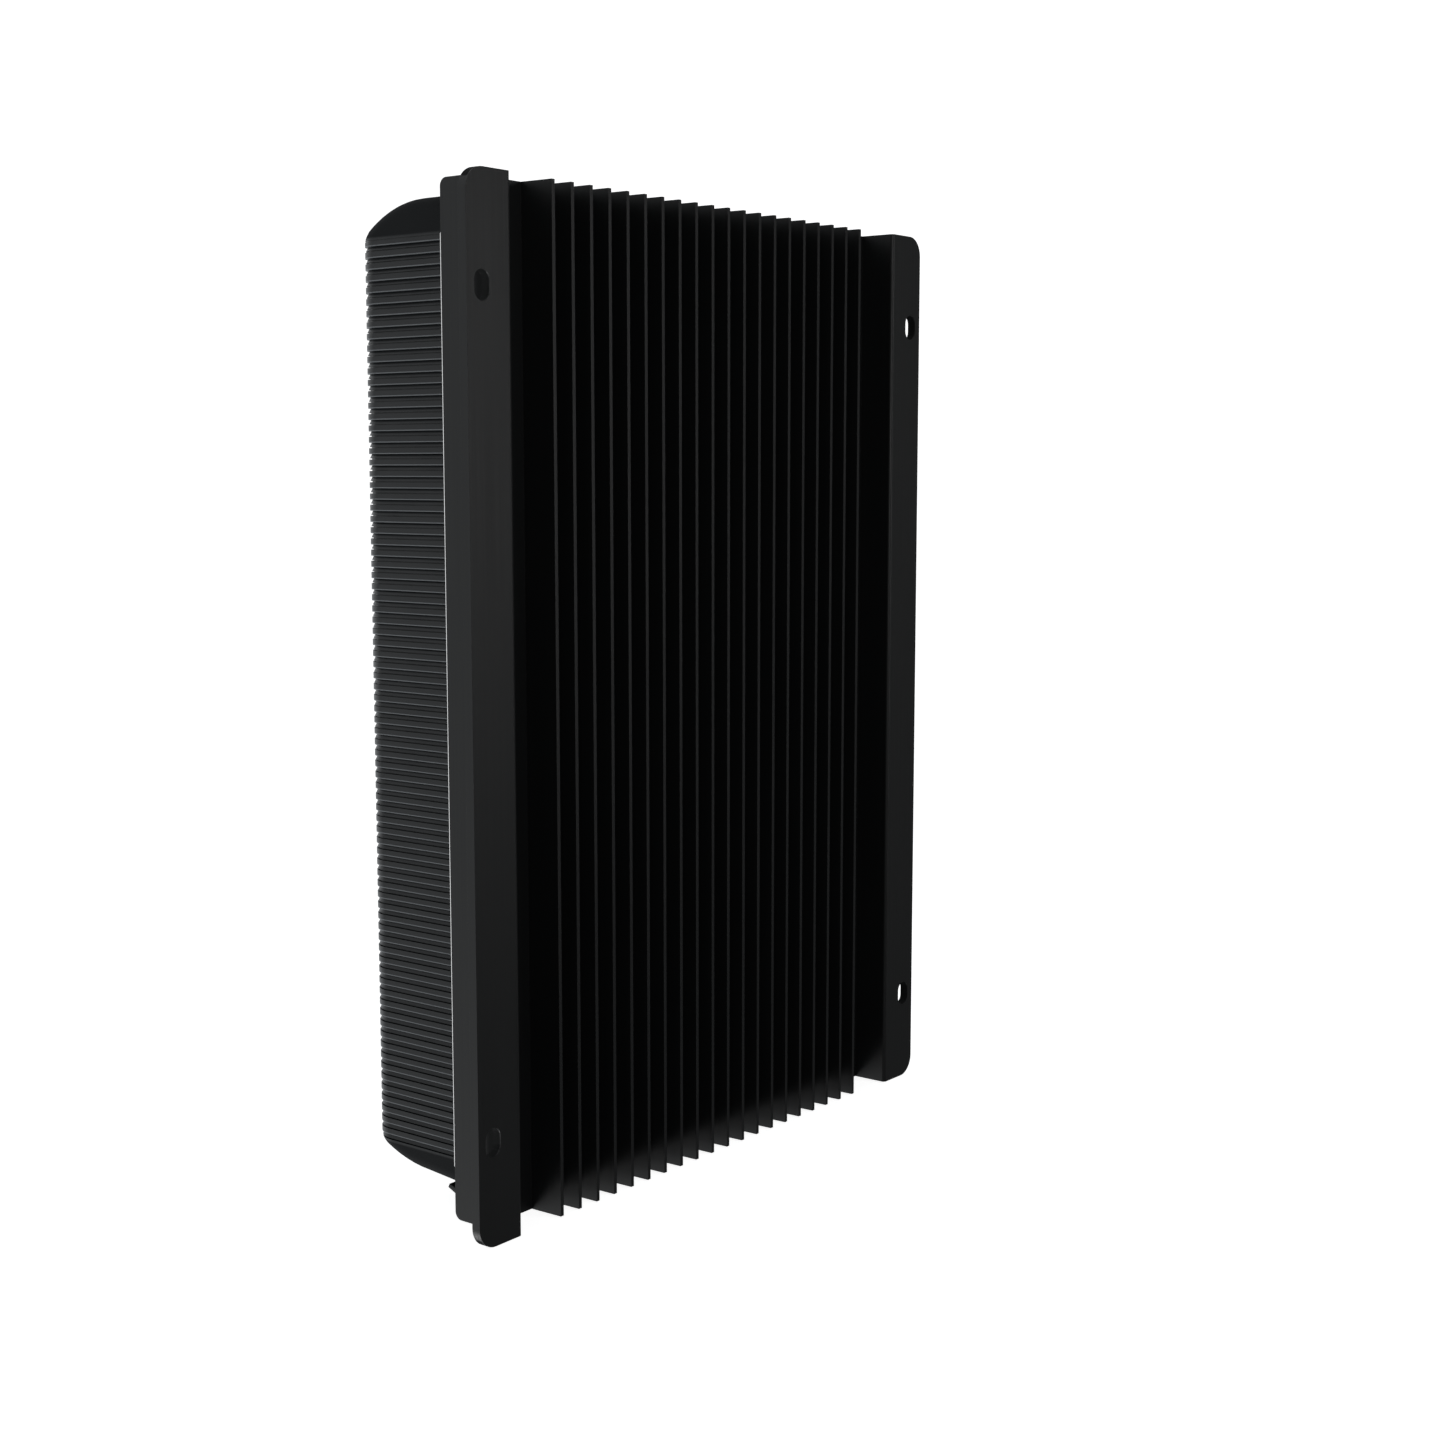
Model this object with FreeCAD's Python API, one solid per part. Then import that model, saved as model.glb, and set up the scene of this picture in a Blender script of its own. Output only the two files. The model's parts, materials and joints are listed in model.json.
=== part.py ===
import FreeCAD, Part
import os
from math import asin, atan2, cos, pi, radians, sin

# Wall-mounted solar charge controller, in millimetres.
# X runs across the device, +Z is up, the wall plane is Y = 0 and the front faces -Y.
# The origin is on the wall plane, at the middle of the bottom edge.

# ---- driving dimensions: heat sink extrusion ----
height = 255.0
flange_half = 96.0
flange_thick = 2.5
flange_corner_r = 5.5
wall_half = 83.1
wall_thick = 2.0
wall_front = -21.0
wall_corner_r = 2.0
bend_r = 1.0
base_back = -10.7
base_thick = 4.0
fin_count = 20
fin_pitch = 6.877
fin_tip = -1.05
fin_root_thick = 1.7
fin_tip_thick = 1.1
slot_half_x = 91.0
slot_z = (26.0, 228.5)
slot_width = 5.2
slot_length = 7.2
tapped_depth = 3.0

# ---- driving dimensions: end panels ----
sheet = 1.5
top_panel_z = 250.9
bottom_panel_z = 4.4
panel_foot = 10.1
lip_reach = 4.8
lip_rise = 2.2
lip_thick = 1.1
end_screw_x = (-60.0, 60.0)
end_screw_inset = 10.5
ground_screw_x = -30.0
ground_screw_y = -18.45
ground_head_thick = 2.2
ground_slot_half = 0.4
ground_slot_deep = 1.0

# ---- driving dimensions: front cover ----
cover_half = 82.0
cover_rear = -21.0
cover_front = -51.8
cover_wall = 2.2
cover_edge_r = 6.0
dome_edge_r = 3.5
cover_top = 251.4
dome_r = 30.0
dome_start = -30.0
cover_bottom = 7.9
keel_start = -33.0
keel_start_z = 9.0
keel_mid = -44.0
keel_mid_z = 11.3
rib_pitch = 2.8
rib_count = 81
rib_low = 15.4
rib_depth = 0.7
rib_groove = 0.3
rib_slope_out = 0.2
rib_band_start = 1.35
cover_post_r = 4.6
cover_screw_x = 72.0
cover_screw_z = (26.0, 230.0)
cover_screw_seat = -47.0
counterbore_r = 3.4
strip_thick = 0.8
strip_low = 12.0
strip_high = 243.6
strip_slant = 1.4

# ---- driving dimensions: terminal cover ----
lid_half = 48.5
lid_top = 47.0
lid_back = -45.0
lid_screw_x = 44.5
lid_screw_z = 42.7
lid_seat_r = 3.3
lid_boss_half = 5.0
lid_boss_low = 4.0
lid_boss_high = 11.0
lid_boss_thick = 3.2

# ---- driving dimensions: control panel ----
panel_half = 61.5
panel_low = 54.0
panel_high = 234.0
panel_front = -57.8
panel_wall = 2.2
panel_lap = 0.6
panel_corner_r = 9.0
panel_rim_r = 2.0
panel_post_r = 3.2
panel_screw_x = 54.0
panel_screw_z = (64.0, 224.0)
window_half = 36.0
window_low = 164.0
window_high = 206.0
lens_margin = 3.0
lens_thick = 1.3
lens_corner_r = 3.0
key_x = 22.0
key_z = 122.0
key_half_x = 9.0
key_half_z = 5.5
key_corner_r = 2.5
key_proud = 1.2
key_travel = 0.6
key_gap = 0.35
key_lip = 1.3
key_lip_thick = 1.0
key_stem_r = 2.0
key_rim_r = 0.5
lamp_z = 144.0
lamp_x = (-22.0, 0.0, 22.0)
lamp_r = 2.0
lamp_collar = 0.8
lamp_proud = 0.4
lamp_back = -49.2
lamp_round = 0.8
lamp_collar_thick = 1.2

# ---- driving dimensions: display and its board ----
display_half = 44.0
display_low = 106.0
display_high = 214.0
display_back = -45.8
display_post_x = 40.8
display_post_z = (110.5, 209.5)
display_post_r = 2.1
display_screw_reach = 5.0
display_clear = 2.5
glass_half = 35.4
glass_low = 163.0
glass_high = 207.0
lcd_back = -49.4
lcd_glass_back = -53.0
lcd_glass_front = -55.0
frame_thick = 1.6
frame_edge = 1.9
frame_lip = 0.4
leg_x = 30.0
leg_half = 4.0
leg_z = (172.0, 198.0)
lamp_chip_half_x = 1.6
lamp_chip_half_z = 1.0
lamp_chip_thick = 1.2
switch_half = 3.0
switch_front = -49.9
plunger_front = -50.9
plunger_r = 1.7

# ---- driving dimensions: main board ----
board_half = 66.0
board_low = 12.5
board_high = 240.0
board_thick = 1.6
board_corner_r = 2.0
board_screw_reach = 3.5
standoff_height = 6.0
standoff_flats = 5.5
standoff_stud = 2.6
standoff_x = 58.0
standoff_z = (46.0, 132.0, 214.0)

# ---- driving dimensions: parts on the main board ----
transistor_count = 6
transistor_pitch = 18.0
transistor_half = 5.0
transistor_z = (214.0, 223.0, 229.5)
transistor_thick = 4.4
tab_thick = 1.3
tab_hole_z = 226.4
leg_pitch = 2.54
leg_width = 0.8
leg_thick = 0.6
leg_end_z = 208.0
leg_back = -16.8
pad_thick = 0.3
pad_margin = 1.0
inductor_x = 33.0
inductor_z = 184.0
core_r = 18.5
core_bore = 9.5
core_tall = 13.0
core_lift = 2.2
winding_turns = 22
wire = 1.3
capacitor_z = 143.5
capacitor_tall = 20.0
can_edge_r = 0.8
input_can_r = 9.0
input_can_x = (-52.0, -32.0, -12.0)
output_can_r = 8.0
output_can_x = (12.0, 31.0, 50.0)
chip_places = ((40.0, 118.0), (56.0, 100.0), (24.0, 102.0))
chip_halves = (6.0, 3.5, 2.6)
chip_thick = 1.3
shunt_half = 11.0
shunt_foot = 5.0
shunt_rise = 5.2
shunt_thick = 1.2
shunt_low = 58.0
shunt_wide = 7.0
fuse_x = 34.0
fuse_z = 62.0
fuse_socket_half = 10.0
fuse_socket_half_z = 4.0
fuse_socket_tall = 7.0
fuse_half = 9.0
fuse_half_z = 2.5
fuse_tall = 10.0
ribbon_half = 8.0
ribbon_thick = 0.4
ribbon_bend_r = 3.0
ribbon_top_z = 111.0
ribbon_low_z = 88.0
ribbon_socket_tall = 2.6
ribbon_socket_half = 9.5
ribbon_socket_half_z = 2.4

# ---- driving dimensions: terminals and ports ----
terminal_count = 6
terminal_pitch = 15.0
block_half = 46.0
block_low = 12.0
block_high = 36.0
block_front = -48.5
block_wall = 2.0
cell_half = 5.7
cell_back = -27.3
cell_front = -44.1
collar_front = -45.3
entry_half = 4.2
clamp_z = 20.5
cage_half = 5.3
cage_height = 8.0
cage_back = -28.0
cage_wall_back = 1.2
cage_wall_front = 2.0
cage_side = 1.0
bar_front = -38.0
bar_thick = 1.5
bar_half = 3.9
bar_low = 15.0
jack_x = -57.0
jack_half = 7.5
jack_front = -38.5
jack_top = 28.0
mouth_half = 6.0
mouth_back = -26.0
mouth_front = -34.5
mouth_top = 25.0
latch_half = 2.0
latch_deep = 2.0
latch_top = 20.0
contact_count = 8
contact_pitch = 1.1
contact_half = 0.22
contact_reach = 2.4
contact_thick = 0.5
contact_low = 15.0
sensor_x = 56.0
sensor_half = 6.0
sensor_front = -33.5
sensor_top = 24.0
sensor_wall = 1.5
sensor_floor = 3.0
pin_r = 0.5
pin_pitch = 4.0
pin_reach = 2.6

# ---- driving dimensions: fasteners, each as thread radius, head radius, head thickness ----
m4_clamp = (2.0, 3.4, 2.6)
m3 = (1.5, 2.9, 1.8)
m25 = (1.25, 2.6, 1.7)
m2 = (1.0, 2.0, 1.3)
m3_hole = 1.75
head_round = 0.4
recess_deep = 0.55
recess_reach = 0.55
recess_half = 0.15

# ---- clearances ----
gap = 0.3
fit = 0.05
slack = 0.1
small = 0.02
past = 1.0
overlap = 0.5

# ---- worked out from the above ----
base_front = base_back - base_thick
board_back = base_front - standoff_height
board_front = board_back - board_thick
rib_high = rib_low + rib_count * rib_pitch
wall_inner = wall_half - wall_thick
cover_inner_front = cover_front + cover_wall
panel_back = cover_front + panel_lap
panel_inner = panel_front + panel_wall
display_front = display_back - board_thick
transistor_back = base_front - pad_thick
core_back = board_front - core_lift
core_front = core_back - core_tall
bar_back = bar_front + bar_thick
cage_inner_front = bar_front - gap
cage_front = cage_inner_front - cage_wall_front
head_seat = collar_front - gap
transistor_x = [(i - (transistor_count - 1) / 2) * transistor_pitch for i in range(transistor_count)]
terminal_x = [(i - (terminal_count - 1) / 2) * terminal_pitch for i in range(terminal_count)]
cover_screw_places = [(side * cover_screw_x, z) for side in (-1, 1) for z in cover_screw_z]
standoff_places = [(side * standoff_x, z) for side in (-1, 1) for z in standoff_z]
panel_screw_places = [(side * panel_screw_x, z) for side in (-1, 1) for z in panel_screw_z]
display_screw_places = [(side * display_post_x, z) for side in (-1, 1) for z in display_post_z]


# ---- small tools shared by the sub-parts ----
def vec(x, y, z):
    return FreeCAD.Vector(x, y, z)


def block(x0, x1, y0, y1, z0, z1):
    low = vec(min(x0, x1), min(y0, y1), min(z0, z1))
    return Part.makeBox(abs(x1 - x0), abs(y1 - y0), abs(z1 - z0), low)


def post(x, z, half_x, half_z, y0, y1):
    """A block given by its middle and half sizes, seen from the front."""
    return block(x - half_x, x + half_x, y0, y1, z - half_z, z + half_z)


def rod_y(r, x, z, y_back, y_front):
    """A round bar along Y, from y_back forward to y_front."""
    return Part.makeCylinder(r, y_back - y_front, vec(x, y_back, z), vec(0, -1, 0))


def rod_z(r, x, y, z0, z1):
    return Part.makeCylinder(r, z1 - z0, vec(x, y, z0), vec(0, 0, 1))


def prism_x(points, x0, x1):
    """A straight-sided outline in Y and Z, run along X."""
    corners = [vec(x0, y, z) for y, z in points]
    face = Part.Face(Part.makePolygon(corners + corners[:1]))
    return face.extrude(vec(x1 - x0, 0, 0))


def prism_y(points, y0, y1):
    """A straight-sided outline in X and Z, run along Y."""
    corners = [vec(x, y0, z) for x, z in points]
    face = Part.Face(Part.makePolygon(corners + corners[:1]))
    return face.extrude(vec(0, y1 - y0, 0))


def prism_z(points, z0, z1):
    """A straight-sided outline in X and Y, run along Z."""
    corners = [vec(x, y, z0) for x, y in points]
    face = Part.Face(Part.makePolygon(corners + corners[:1]))
    return face.extrude(vec(0, 0, z1 - z0))


def fuse_all(shapes):
    return shapes[0].multiFuse(shapes[1:]).removeSplitter()


def edges_along(shape, axis):
    """Straight edges that run along one axis."""
    found = []
    for edge in shape.Edges:
        if not isinstance(edge.Curve, Part.Line):
            continue
        start = edge.Vertexes[0].Point
        run = edge.Vertexes[-1].Point.sub(start)
        across = run.Length - abs(run.dot(axis))
        if run.Length > 0 and across < small:
            found.append(edge)
    return found


def edges_at_y(shape, y):
    """Every edge whose middle lies in the plane at y."""
    return [edge for edge in shape.Edges if abs(edge.CenterOfMass.y - y) < small]


def rounded_y(x0, x1, z0, z1, y_back, y_front, r):
    """A plate with rounded corners, lying across Y."""
    plate = block(x0, x1, y_back, y_front, z0, z1)
    return plate.makeFillet(r, edges_along(plate, vec(0, 1, 0)))


def hex_y(across_flats, x, z, y_back, y_front):
    r = across_flats / 2 / cos(pi / 6)
    turns = [radians(60 * i) for i in range(6)]
    return prism_y([(x + r * cos(turn), z + r * sin(turn)) for turn in turns], y_back, y_front)


def pan_screw(x, z, seat, tip, size):
    """A pan-head screw along Y with a cross recess; the head lies on the seat's far side from the tip."""
    r, head_r, head_thick = size
    way = 1 if tip > seat else -1
    face = seat - way * head_thick
    shank = rod_y(r, x, z, max(seat, tip), min(seat, tip))
    head = rod_y(head_r, x, z, max(seat, face), min(seat, face))
    rim = [edge for edge in edges_at_y(head, face) if isinstance(edge.Curve, Part.Circle)]
    head = head.makeFillet(head_thick * head_round, rim)
    floor = face + way * head_thick * recess_deep
    reach = head_r * recess_reach
    half = head_r * recess_half
    recess = [post(x, z, reach, half, face - way, floor), post(x, z, half, reach, face - way, floor)]
    return fuse_all([shank, head]).cut(recess)


def save(name, *solids):
    shape = solids[0] if len(solids) == 1 else Part.makeCompound(list(solids))
    shape.exportStep("parts/" + name + ".step")


# ---- heat sink: one aluminium extrusion with fins, walls and mounting flanges ----
def mounting_slot(x, z):
    r = slot_width / 2
    half = slot_length / 2 - r
    deep = 2 * flange_thick
    ends = [rod_y(r, x, z + side * half, deep, -deep) for side in (-1, 1)]
    return fuse_all(ends + [post(x, z, r, half, deep, -deep)])


def flange(side):
    inner = wall_inner + bend_r
    plate = block(side * inner, side * flange_half, -flange_thick, 0, 0, height)
    outer = [edge for edge in edges_along(plate, vec(0, 1, 0))
             if abs(abs(edge.CenterOfMass.x) - flange_half) < small]
    return plate.makeFillet(flange_corner_r, outer)


def heat_sink_wall(side):
    wall = block(side * wall_inner, side * wall_half, wall_front, 0, 0, height)
    front = [edge for edge in edges_along(wall, vec(1, 0, 0))
             if abs(edge.CenterOfMass.y - wall_front) < small]
    wall = wall.makeFillet(wall_corner_r, front)
    bend = [edge for edge in edges_along(wall, vec(0, 0, 1))
            if abs(edge.CenterOfMass.y) < small and abs(abs(edge.CenterOfMass.x) - wall_inner) < small]
    return wall.makeFillet(bend_r, bend)


def fin(x):
    root = fin_root_thick / 2
    tip = fin_tip_thick / 2
    foot = base_back - overlap
    return prism_z([(x - root, foot), (x + root, foot), (x + tip, fin_tip), (x - tip, fin_tip)], 0, height)


def heatsink():
    half = wall_inner + overlap
    parts = [block(-half, half, base_back, base_front, 0, height)]
    for side in (-1, 1):
        parts += [heat_sink_wall(side), flange(side)]
    first = -(fin_count - 1) * fin_pitch / 2
    parts += [fin(first + i * fin_pitch) for i in range(fin_count)]
    body = fuse_all(parts)
    holes = [mounting_slot(side * slot_half_x, z) for side in (-1, 1) for z in slot_z]
    tapped = cover_screw_places + standoff_places
    tapped += [(x, z) for x in end_screw_x for z in (end_screw_inset, height - end_screw_inset)]
    holes += [rod_y(m3[0] + fit, x, z, base_front + tapped_depth, base_front - past) for x, z in tapped]
    return body.cut(holes)


# ---- end panels: bent aluminium strips that close the channel above and below ----
def end_panel_holes(z):
    return [rod_y(m3_hole, x, z, base_front + past, base_front - 2 * sheet) for x in end_screw_x]


def top_panel():
    half = wall_inner - gap
    web = block(-half, half, base_front, cover_rear, top_panel_z - sheet, top_panel_z)
    foot = block(-half, half, base_front, base_front - sheet, top_panel_z - panel_foot, top_panel_z)
    return fuse_all([web, foot]).cut(end_panel_holes(height - end_screw_inset))


def bottom_panel():
    """The web ends in a lip that slants up and forward under the cover."""
    half = wall_inner - gap
    tip_y = cover_rear - lip_reach
    tip_z = bottom_panel_z + lip_rise
    slant = atan2(lip_rise, lip_reach)
    outline = [(base_front, bottom_panel_z), (cover_rear, bottom_panel_z), (tip_y, tip_z),
               (tip_y + lip_thick * sin(slant), tip_z + lip_thick * cos(slant)),
               (cover_rear + lip_thick * sin(slant), bottom_panel_z + sheet),
               (base_front, bottom_panel_z + sheet)]
    foot = block(-half, half, base_front, base_front - sheet, bottom_panel_z, bottom_panel_z + panel_foot)
    holes = end_panel_holes(end_screw_inset)
    holes.append(rod_z(m3[0] + fit, ground_screw_x, ground_screw_y, 0, bottom_panel_z + 2 * sheet))
    return fuse_all([prism_x(outline, -half, half), foot]).cut(holes)


def end_panel_screws():
    seat = base_front - sheet
    tip = base_front + tapped_depth - gap
    return [pan_screw(x, z, seat, tip, m3) for x in end_screw_x
            for z in (end_screw_inset, height - end_screw_inset)]


def ground_screw():
    """The earth screw stands up through the bottom panel, head downwards."""
    head_low = bottom_panel_z - ground_head_thick
    shank = rod_z(m3[0], ground_screw_x, ground_screw_y, bottom_panel_z, bottom_panel_z + 4 * sheet)
    head = rod_z(m3[1], ground_screw_x, ground_screw_y, head_low, bottom_panel_z)
    across = m3[1] + past
    slot = block(ground_screw_x - across, ground_screw_x + across, ground_screw_y - ground_slot_half,
                 ground_screw_y + ground_slot_half, head_low - past, head_low + ground_slot_deep)
    return fuse_all([shank, head]).cut(slot)


# ---- front cover: one plastic moulding with ribbed sides and curved ends ----
def plan_wire(inset, z):
    """Outline of the cover seen from above, moved in by the inset at the front and sides.

    It runs past the rear edge, where the finished body is trimmed."""
    rear = cover_rear + 2 * past + inset
    half = cover_half - inset
    front = cover_front + inset
    r = cover_edge_r - inset
    k = r * (1 - sin(pi / 4))
    a = vec(-half, rear, z)
    b = vec(-half, front + r, z)
    c = vec(r - half, front, z)
    d = vec(half - r, front, z)
    e = vec(half, front + r, z)
    f = vec(half, rear, z)
    return Part.Wire([
        Part.makeLine(a, b),
        Part.Arc(b, vec(k - half, front + k, z), c).toShape(),
        Part.makeLine(c, d),
        Part.Arc(d, vec(half - k, front + k, z), e).toShape(),
        Part.makeLine(e, f),
        Part.makeLine(f, a)])


def ribbed_body():
    """The ribbed length. Each rib, from below: a groove, a strip that slopes in, a ledge and a flat band."""
    wires = []
    for i in range(rib_count):
        z = rib_low + i * rib_pitch
        wires += [plan_wire(rib_depth, z), plan_wire(rib_depth, z + rib_groove),
                  plan_wire(rib_slope_out, z + rib_groove), plan_wire(rib_depth, z + rib_band_start),
                  plan_wire(0, z + rib_band_start), plan_wire(0, z + rib_pitch)]
    last = rib_high - rib_groove
    wires[-1:] = [plan_wire(0, last), plan_wire(rib_slope_out, last), plan_wire(rib_slope_out, rib_high)]
    return Part.makeLoft(wires, True, True)


def side_profile(inset, x0, x1, rear):
    """The cover's outline seen from the side, moved in by the inset, run along X."""
    top = cover_top - inset
    front = cover_front + inset
    r = dome_r - inset
    centre_z = cover_top - dome_r
    end_turn = asin((dome_start - front) / r)
    half_turn = end_turn / 2
    rear_low = vec(x0, rear, cover_bottom + inset)
    rear_top = vec(x0, rear, top)
    dome_back = vec(x0, dome_start, top)
    dome_mid = vec(x0, dome_start - r * sin(half_turn), centre_z + r * cos(half_turn))
    dome_end = vec(x0, front, centre_z + r * cos(end_turn))
    keel_end = vec(x0, front, rib_low + inset)
    keel_curve = vec(x0, keel_mid, keel_mid_z + inset)
    keel_back = vec(x0, keel_start, keel_start_z + inset)
    edges = [Part.makeLine(rear_low, rear_top),
             Part.makeLine(rear_top, dome_back),
             Part.Arc(dome_back, dome_mid, dome_end).toShape(),
             Part.makeLine(dome_end, keel_end),
             Part.Arc(keel_end, keel_curve, keel_back).toShape(),
             Part.makeLine(keel_back, rear_low)]
    return Part.Face(Part.Wire(edges)).extrude(vec(x1 - x0, 0, 0))


def smooth_body(inset):
    """The cover without its ribs; an inset gives the hollow, which runs out past the rear edge."""
    half = cover_half - inset + past
    plan = Part.Face(plan_wire(inset, -past)).extrude(vec(0, 0, height + 2 * past))
    return side_profile(inset, -half, half, cover_rear + inset).common(plan)


def dome_edges(shape):
    """The curved outer corners of the two ends, from the rear edge to the front face."""
    found = []
    for edge in shape.Edges:
        mid = edge.CenterOfMass
        at_side = abs(mid.x) > cover_half - cover_edge_r
        at_end = mid.z > rib_high - past or mid.z < rib_low + past
        if at_side and at_end and abs(mid.y - cover_rear) > small and abs(mid.y - cover_front) > overlap:
            found.append(edge)
    return found


def full_width(y_back, z0, z1):
    """A block wider than the cover, from y_back to clear of its front."""
    far = cover_half + past
    return block(-far, far, y_back, cover_front - past, z0, z1)


def outer_body():
    smooth = smooth_body(0)
    smooth = smooth.makeFillet(dome_edge_r, dome_edges(smooth))
    top = smooth.common(full_width(cover_rear + past, rib_high, height))
    low = smooth.common(full_width(cover_rear + past, -past, rib_low))
    ribs = ribbed_body().common(full_width(cover_rear, 0, height))
    return top.fuse([ribs, low])


def lid_zone(margin):
    half = lid_half + margin
    return block(-half, half, lid_back + margin, cover_front - past, 0, lid_top + margin)


def terminal_row_zone(margin):
    half = block_half + margin
    return block(-half, half, base_front, block_front - margin, 0, block_high + margin)


def lid_screw_hole(side):
    return rod_y(m25[0] + fit, side * lid_screw_x, lid_screw_z, cover_rear, cover_front - past)


def port_opening(x, half, front, top):
    return block(x - half - overlap, x + half + overlap, base_front, front - overlap, 0, top + overlap)


def seam_strip(side):
    """A bright strip in the joint between the heat sink wall and the ribbed side, with slanted ends."""
    outline = [(wall_front, strip_low), (wall_front - strip_thick, strip_low + strip_slant),
               (wall_front - strip_thick, strip_high - strip_slant), (wall_front, strip_high)]
    return prism_x(outline, side * (cover_half - cover_wall - 2 * slack), side * (cover_half + overlap))


def front_cover(shell):
    body = shell.fuse([rod_y(cover_post_r, x, z, base_front, cover_inner_front - overlap)
                       for x, z in cover_screw_places])
    for side in (-1, 1):
        x = side * lid_screw_x
        body = body.fuse(block(x - lid_boss_half, x + lid_boss_half, cover_inner_front,
                               cover_inner_front + lid_boss_thick, lid_screw_z - lid_boss_low,
                               lid_screw_z + lid_boss_high))
    margin = 2 * slack
    tools = [block(-panel_half - margin, panel_half + margin, panel_back, cover_front - past,
                   panel_low - margin, panel_high + margin),
             post(0, (display_low + display_high) / 2, display_half + display_clear,
                  (display_high - display_low) / 2 + display_clear, cover_rear, cover_front - past),
             terminal_row_zone(gap),
             port_opening(jack_x, jack_half, jack_front, jack_top),
             port_opening(sensor_x, sensor_half, sensor_front, sensor_top)]
    for x, z in cover_screw_places:
        tools.append(rod_y(m3_hole, x, z, base_front + past, cover_front - past))
        tools.append(rod_y(counterbore_r, x, z, cover_screw_seat, cover_front - past))
    for x, z in panel_screw_places:
        tools.append(rod_y(m25[0] + gap, x, z, cover_rear, cover_front - past))
    tools += [lid_screw_hole(-1), lid_screw_hole(1), seam_strip(-1), seam_strip(1)]
    return body.cut(tools)


def cover_screws():
    tip = base_front + tapped_depth - gap
    return [pan_screw(x, z, cover_screw_seat, tip, m3) for x, z in cover_screw_places]


def terminal_cover(shell):
    lid = shell.common(lid_zone(0)).cut(terminal_row_zone(gap))
    tools = [lid_screw_hole(-1), lid_screw_hole(1)]
    for side in (-1, 1):
        tools.append(rod_y(lid_seat_r, side * lid_screw_x, lid_screw_z, panel_back, cover_front - past))
    return lid.cut(tools)


def terminal_cover_screws():
    tip = cover_inner_front + lid_boss_thick + overlap
    return [pan_screw(side * lid_screw_x, lid_screw_z, panel_back, tip, m25) for side in (-1, 1)]


# ---- control panel: the raised moulding with the display, the keys and the lamps ----
def key_opening(x, margin, y_back, y_front):
    half_x = key_half_x + margin
    half_z = key_half_z + margin
    return rounded_y(x - half_x, x + half_x, key_z - half_z, key_z + half_z, y_back, y_front,
                     key_corner_r + margin)


def window_plate(margin, y_front, r):
    """The display window's outline with a margin, as deep as the lens is thick."""
    half = window_half + margin
    return rounded_y(-half, half, window_low - margin, window_high + margin, panel_front + lens_thick,
                     y_front, r)


def control_panel():
    body = rounded_y(-panel_half, panel_half, panel_low, panel_high, panel_back, panel_front, panel_corner_r)
    body = body.makeFillet(panel_rim_r, edges_at_y(body, panel_front))
    body = body.cut(rounded_y(-panel_half + panel_wall, panel_half - panel_wall, panel_low + panel_wall,
                              panel_high - panel_wall, panel_back + past, panel_inner,
                              panel_corner_r - panel_wall))
    posts = [rod_y(panel_post_r, x, z, panel_back, panel_inner - overlap) for x, z in panel_screw_places]
    posts += [rod_y(display_post_r, x, z, display_front, panel_inner - overlap)
              for x, z in display_screw_places]
    body = fuse_all([body] + posts)
    tools = [block(-window_half, window_half, panel_inner + past, panel_front - past, window_low, window_high),
             window_plate(lens_margin, panel_front - past, lens_corner_r)]
    tools += [key_opening(side * key_x, key_gap, panel_inner + past, panel_front - past) for side in (-1, 1)]
    tools += [rod_y(lamp_r + fit, x, lamp_z, panel_inner + past, panel_front - past) for x in lamp_x]
    tools += [rod_y(m25[0] + fit, x, z, panel_back + past, panel_inner + overlap)
              for x, z in panel_screw_places]
    tools += [rod_y(m2[0] + fit, x, z, display_front + past, panel_inner + overlap)
              for x, z in display_screw_places]
    return body.cut(tools)


def panel_screws():
    return [pan_screw(x, z, cover_inner_front, panel_inner + past, m25) for x, z in panel_screw_places]


def display_lens():
    return window_plate(lens_margin - slack, panel_front, lens_corner_r - slack)


# ---- display: glass, frame and light on their own board behind the panel ----
def lcd_plate(margin, y_back, y_front):
    """A plate with the glass's outline, larger by the margin on every side."""
    half = glass_half + margin
    return block(-half, half, y_back, y_front, glass_low - margin, glass_high + margin)


def lcd_glass():
    return lcd_plate(0, lcd_glass_back, lcd_glass_front)


def lcd_frame():
    """A pressed frame over the glass and the light, open at the back and over the picture."""
    outer = lcd_plate(frame_thick, lcd_back, lcd_glass_front - frame_lip)
    inner = lcd_plate(2 * slack, lcd_back + past, lcd_glass_front - fit)
    return outer.cut([inner, lcd_plate(-frame_edge, lcd_back, lcd_glass_front - past)])


def lcd_backlight():
    return lcd_plate(0, lcd_back, lcd_glass_back + slack)


def display_board():
    board = rounded_y(-display_half, display_half, display_low, display_high, display_back, display_front,
                      board_corner_r)
    return board.cut([rod_y(m2[0] + gap, x, z, display_back + past, display_front - past)
                      for x, z in display_screw_places])


def lcd_legs():
    """Header strips that hold the display off its board."""
    return [block(side * leg_x - leg_half, side * leg_x + leg_half, display_front, lcd_back, leg_z[0], leg_z[1])
            for side in (-1, 1)]


def display_screws():
    tip = display_front - display_screw_reach
    return [pan_screw(x, z, display_back, tip, m2) for x, z in display_screw_places]


def indicator_lamps():
    """Clear light pipes with domed fronts."""
    pipes = []
    front = panel_front - lamp_proud
    for x in lamp_x:
        pipe = rod_y(lamp_r, x, lamp_z, lamp_back, front)
        pipe = pipe.makeFillet(lamp_round, edges_at_y(pipe, front))
        collar = rod_y(lamp_r + lamp_collar, x, lamp_z, panel_inner + lamp_collar_thick, panel_inner)
        pipes.append(fuse_all([pipe, collar]))
    return pipes


def lamp_chips():
    return [post(x, lamp_z, lamp_chip_half_x, lamp_chip_half_z, display_front, display_front - lamp_chip_thick)
            for x in lamp_x]


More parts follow.
